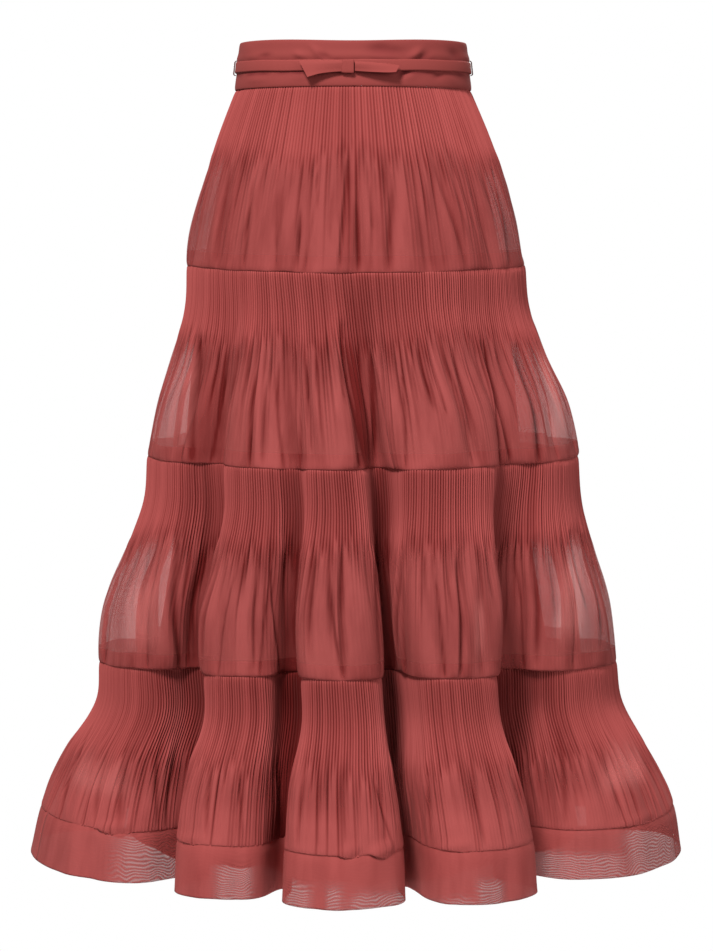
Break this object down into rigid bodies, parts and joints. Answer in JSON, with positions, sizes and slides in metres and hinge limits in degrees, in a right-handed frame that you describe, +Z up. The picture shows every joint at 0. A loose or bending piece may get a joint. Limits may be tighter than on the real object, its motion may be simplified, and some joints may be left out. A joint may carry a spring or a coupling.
{
  "type": "pleated midi skirt",
  "caption": "Tiered midi skirt in sheer pleated cloth with a plain waistband, a slim tied belt, a smooth hem band and a lining, filled out as worn.",
  "frame": {"origin": "middle of the waist, half way up the waistband, where the wearer holds the skirt", "axes": "+Z up to the waist, -Y to the wearer's front, +X to the right as seen from the front"},
  "size_m": [0.6793, 0.6058, 0.842],
  "materials": {
    "waistband": "matt, interfaced",
    "tier_cloth": "sheer, finely pleated, soft sheen",
    "hem_cloth": "sheer, doubled, smooth",
    "lining_cloth": "plain, light",
    "belt_cloth": "matt, folded",
    "thread": "twisted thread",
    "zip_tape": "woven tape",
    "zip_metal": "dyed to match"
  },
  "bodies": {
    "skirt": {"waistband_front": "waistband", "waistband_back_left": "waistband", "waistband_back_right": "waistband", "tier1_front": "tier_cloth", "tier1_back_left": "tier_cloth", "tier1_back_right": "tier_cloth", "tier2_front": "tier_cloth", "tier2_back": "tier_cloth", "tier3_front": "tier_cloth", "tier3_back": "tier_cloth", "tier4_front": "tier_cloth", "tier4_back": "tier_cloth", "hem_band_front": "hem_cloth", "hem_band_back": "hem_cloth", "lining_front": "lining_cloth", "lining_back": "lining_cloth", "belt_front": "belt_cloth", "belt_back": "belt_cloth", "bow_left": "belt_cloth", "bow_right": "belt_cloth", "bow_knot": "belt_cloth", "belt_loop_left": "thread", "belt_loop_right": "thread", "zip_tape": "zip_tape", "zip_slider": "zip_metal"},
    "zip_pull": {"zip_pull": "zip_metal"}
  },
  "joints": [
    {"name": "zip_pull_swing", "type": "hinge", "parent": "skirt", "child": "zip_pull", "pos_m": [0, 0.09758, 0.0185], "axis": [1, 0, 0], "range_deg": [0, 150]}
  ]
}
